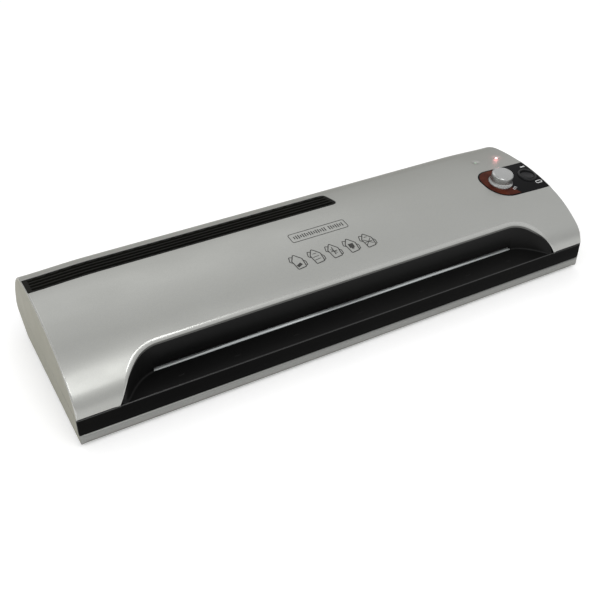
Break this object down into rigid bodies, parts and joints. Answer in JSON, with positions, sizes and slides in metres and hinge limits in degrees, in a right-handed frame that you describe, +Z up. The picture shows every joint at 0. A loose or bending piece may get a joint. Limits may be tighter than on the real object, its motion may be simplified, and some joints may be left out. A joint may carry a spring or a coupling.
{
  "type": "pouch laminator",
  "caption": "Long low pouch laminator with a silver domed cover, a front feed recess, a vent strip, a temperature dial, a power rocker and a geared roller drive.",
  "frame": {"origin": "centre of the footprint, on the surface the feet stand on", "axes": "+X along the length to the operator's right, +Y from the feed recess to the exit slot, +Z up"},
  "size_m": [0.45, 0.1554, 0.0783],
  "materials": {
    "silver": "satin metallic paint on the moulding",
    "black_plastic": "fine texture",
    "gloss_black": "polished",
    "guide_metal": "bright strip",
    "ring_red": "dark translucent",
    "knob_silver": "satin",
    "steel": "plated sheet and rod",
    "aluminium": "mill finish",
    "lamp_pink": "clear lens",
    "lamp_green": "clear lens",
    "board_green": "solder resist",
    "silicone": "smooth silicone",
    "gear_plastic": "acetal",
    "brass": "cut",
    "bush_bronze": "sintered",
    "mica": "dull",
    "tape_yellow": "wrapped",
    "relay_blue": "moulded",
    "white_plastic": "moulded",
    "rubber_black": "soft",
    "wire_sleeve": "braided sleeve",
    "label_paper": "blank"
  },
  "bodies": {
    "laminator": {"base": "silver", "cover": "silver", "feed_tray": "black_plastic", "guide_strip": "guide_metal", "vent_grille": "black_plastic", "control_panel": "gloss_black", "dial_ring": "ring_red", "dial_body": "steel", "rocker_case": "black_plastic", "lamp_ready": "lamp_green", "lamp_power": "lamp_pink", "lamp_board": "board_green", "exit_guide": "black_plastic", "side_plate_left": "steel", "side_plate_right": "steel", "tie_rods": "steel", "idler_pin": "steel", "motor": "steel", "drive_bracket": "steel", "roller_bushes": "bush_bronze", "leaf_springs": "steel", "heater_plate_upper": "aluminium", "heater_plate_lower": "aluminium", "heater_element_upper": "mica", "heater_element_lower": "mica", "thermostat": "black_plastic", "thermal_fuse": "mica", "heat_shield": "aluminium", "control_board": "board_green", "board_transformer": "tape_yellow", "board_relay": "relay_blue", "terminal_block": "white_plastic", "mains_gland": "rubber_black", "wiring": "wire_sleeve", "case_screws": "steel", "frame_screws": "steel", "feet": "rubber_black", "rating_plate": "label_paper"},
    "dial": {"dial_knob": "knob_silver", "dial_shaft": "steel"},
    "power_rocker": {"rocker_cap": "gloss_black"},
    "hot_lower_roller": {"hot_lower_core": "steel", "hot_lower_sleeve": "silicone", "hot_lower_gear": "gear_plastic"},
    "hot_upper_roller": {"hot_upper_core": "steel", "hot_upper_sleeve": "silicone", "hot_upper_gear": "gear_plastic"},
    "pull_lower_roller": {"pull_lower_core": "steel", "pull_lower_sleeve": "silicone", "pull_lower_gear": "gear_plastic"},
    "pull_upper_roller": {"pull_upper_core": "steel", "pull_upper_sleeve": "silicone", "pull_upper_gear": "gear_plastic"},
    "idler": {"idler_gear": "gear_plastic"},
    "motor_output": {"motor_pinion": "brass"}
  },
  "joints": [
    {"name": "dial_turn", "type": "hinge", "parent": "laminator", "child": "dial", "pos_m": [0.183, -0.01274, 0.06617], "axis": [0, -0.1587, 0.9873], "range_deg": [-280, 0]},
    {"name": "rocker_tip", "type": "hinge", "parent": "laminator", "child": "power_rocker", "pos_m": [0.214, -0.01259, 0.06518], "axis": [1, 0, 0], "range_deg": [0, 16]},
    {"name": "hot_lower_turn", "type": "hinge", "parent": "laminator", "child": "hot_lower_roller", "pos_m": [0, -0.02974, 0.0175], "axis": [1, 0, 0], "continuous": true},
    {"name": "hot_upper_turn", "type": "hinge", "parent": "laminator", "child": "hot_upper_roller", "pos_m": [0, -0.02974, 0.0377], "axis": [1, 0, 0], "continuous": true},
    {"name": "pull_lower_turn", "type": "hinge", "parent": "laminator", "child": "pull_lower_roller", "pos_m": [0, 0.01046, 0.0175], "axis": [1, 0, 0], "continuous": true},
    {"name": "pull_upper_turn", "type": "hinge", "parent": "laminator", "child": "pull_upper_roller", "pos_m": [0, 0.01046, 0.0377], "axis": [1, 0, 0], "continuous": true},
    {"name": "idler_turn", "type": "hinge", "parent": "laminator", "child": "idler", "pos_m": [-0.196, -0.00964, 0.0175], "axis": [1, 0, 0], "continuous": true},
    {"name": "motor_turn", "type": "hinge", "parent": "laminator", "child": "motor_output", "pos_m": [-0.196, -0.00964, 0.0326], "axis": [1, 0, 0], "continuous": true}
  ],
  "couplings": [
    {"joint": "hot_upper_turn", "follows": "hot_lower_turn", "ratio": -1},
    {"joint": "idler_turn", "follows": "hot_lower_turn", "ratio": -1},
    {"joint": "pull_lower_turn", "follows": "hot_lower_turn", "ratio": 1},
    {"joint": "pull_upper_turn", "follows": "hot_lower_turn", "ratio": -1},
    {"joint": "motor_turn", "follows": "hot_lower_turn", "ratio": 2}
  ]
}
